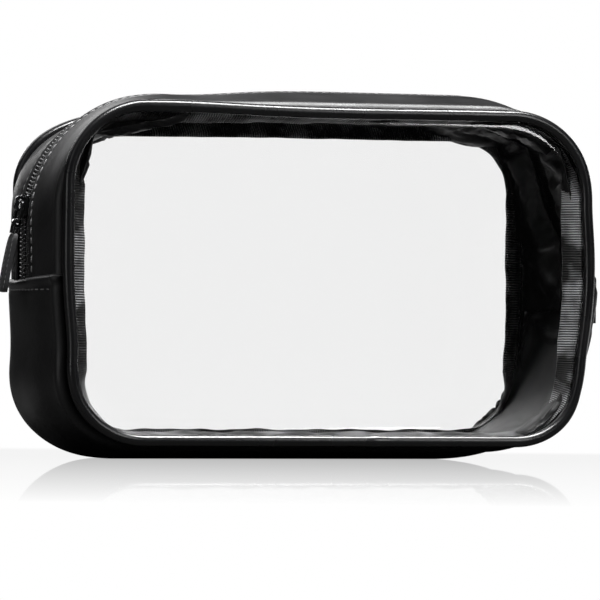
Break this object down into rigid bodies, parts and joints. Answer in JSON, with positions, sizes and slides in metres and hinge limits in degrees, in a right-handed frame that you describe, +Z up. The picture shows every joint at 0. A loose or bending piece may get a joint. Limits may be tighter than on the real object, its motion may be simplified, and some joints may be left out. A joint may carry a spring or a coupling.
{
  "type": "makeup bag",
  "caption": "Upright makeup bag with clear front and back windows, black piped gusset and a zip round the mouth.",
  "frame": {"origin": "middle of the flat of the base, on the surface that the bag stands on", "axes": "+X along the width to the right seen from the front, -Y out of the front window, +Z up"},
  "size_m": [0.2244, 0.0678, 0.1319],
  "materials": {
    "pu_leather": "smooth satin black coated fabric",
    "pull_leather": "satin black strap with stitched edges",
    "clear_pvc": "clear soft film, glossy",
    "piping_cord": "plain extruded filler cord",
    "binding_tape": "ribbed woven binding tape",
    "lining_cloth": "thin satin lining, lightly creased",
    "zip_tape": "flat woven tape",
    "zip_coil": "satin nylon coil",
    "zip_metal": "black nickel plating"
  },
  "bodies": {
    "root": {"base_band": "pu_leather", "base_lining": "lining_cloth", "zip_left_stop": "zip_metal", "zip_right_stops": "zip_metal", "side_tab_root": "pu_leather", "front_zip_band_lower": "pu_leather", "front_lining_lower": "lining_cloth", "front_zip_tape_lower": "zip_tape", "front_zip_coil_lower": "zip_coil", "front_window_lower": "clear_pvc", "front_piping_lower": "pu_leather", "front_piping_cord_lower": "piping_cord", "front_binding_lower": "binding_tape", "back_zip_band_lower": "pu_leather", "back_lining_lower": "lining_cloth", "back_zip_tape_lower": "zip_tape", "back_zip_coil_lower": "zip_coil", "back_window_lower": "clear_pvc", "back_piping_lower": "pu_leather", "back_piping_cord_lower": "piping_cord", "back_binding_lower": "binding_tape"},
    "zip_slider": {"slider_body": "zip_metal", "slider_crown": "zip_metal"},
    "puller": {"pull_loop": "zip_metal"},
    "strap": {"pull_clip": "zip_metal", "pull_strap": "pull_leather"},
    "side_tab": {"side_tab": "pu_leather"},
    "front_mouth": {"front_zip_band_mouth": "pu_leather", "front_lining_mouth": "lining_cloth", "front_zip_tape_mouth": "zip_tape", "front_zip_coil_mouth": "zip_coil", "front_window_mouth": "clear_pvc", "front_piping_mouth": "pu_leather", "front_piping_cord_mouth": "piping_cord", "front_binding_mouth": "binding_tape"},
    "back_mouth": {"back_zip_band_mouth": "pu_leather", "back_lining_mouth": "lining_cloth", "back_zip_tape_mouth": "zip_tape", "back_zip_coil_mouth": "zip_coil", "back_window_mouth": "clear_pvc", "back_piping_mouth": "pu_leather", "back_piping_cord_mouth": "piping_cord", "back_binding_mouth": "binding_tape"}
  },
  "joints": [
    {"name": "slider_travel", "type": "hinge", "parent": "root", "child": "zip_slider", "pos_m": [-0.0536, 0, 0.0795], "axis": [0, -1, 0], "range_deg": [-79, 4]},
    {"name": "pull_loop_swing", "type": "hinge", "parent": "zip_slider", "child": "puller", "pos_m": [-0.10648, 0, 0.09052], "axis": [0, 1, 0], "range_deg": [0, 110]},
    {"name": "pull_strap_swing", "type": "hinge", "parent": "puller", "child": "strap", "pos_m": [-0.10785, 0, 0.08345], "axis": [0, 1, 0], "range_deg": [0, 60]},
    {"name": "front_mouth_open", "type": "hinge", "parent": "root", "child": "front_mouth", "pos_m": [0, -0.0342, 0.081], "axis": [0.989, 0, -0.1478], "range_deg": [0, 18], "stiffness_Nm_per_rad": 0.02},
    {"name": "back_mouth_open", "type": "hinge", "parent": "root", "child": "back_mouth", "pos_m": [0, 0.0342, 0.081], "axis": [-0.989, 0, 0.1478], "range_deg": [0, 18], "stiffness_Nm_per_rad": 0.02},
    {"name": "side_tab_lift", "type": "hinge", "parent": "root", "child": "side_tab", "pos_m": [0.1094, 0, 0.0657], "axis": [0, -1, 0], "range_deg": [0, 110]}
  ]
}
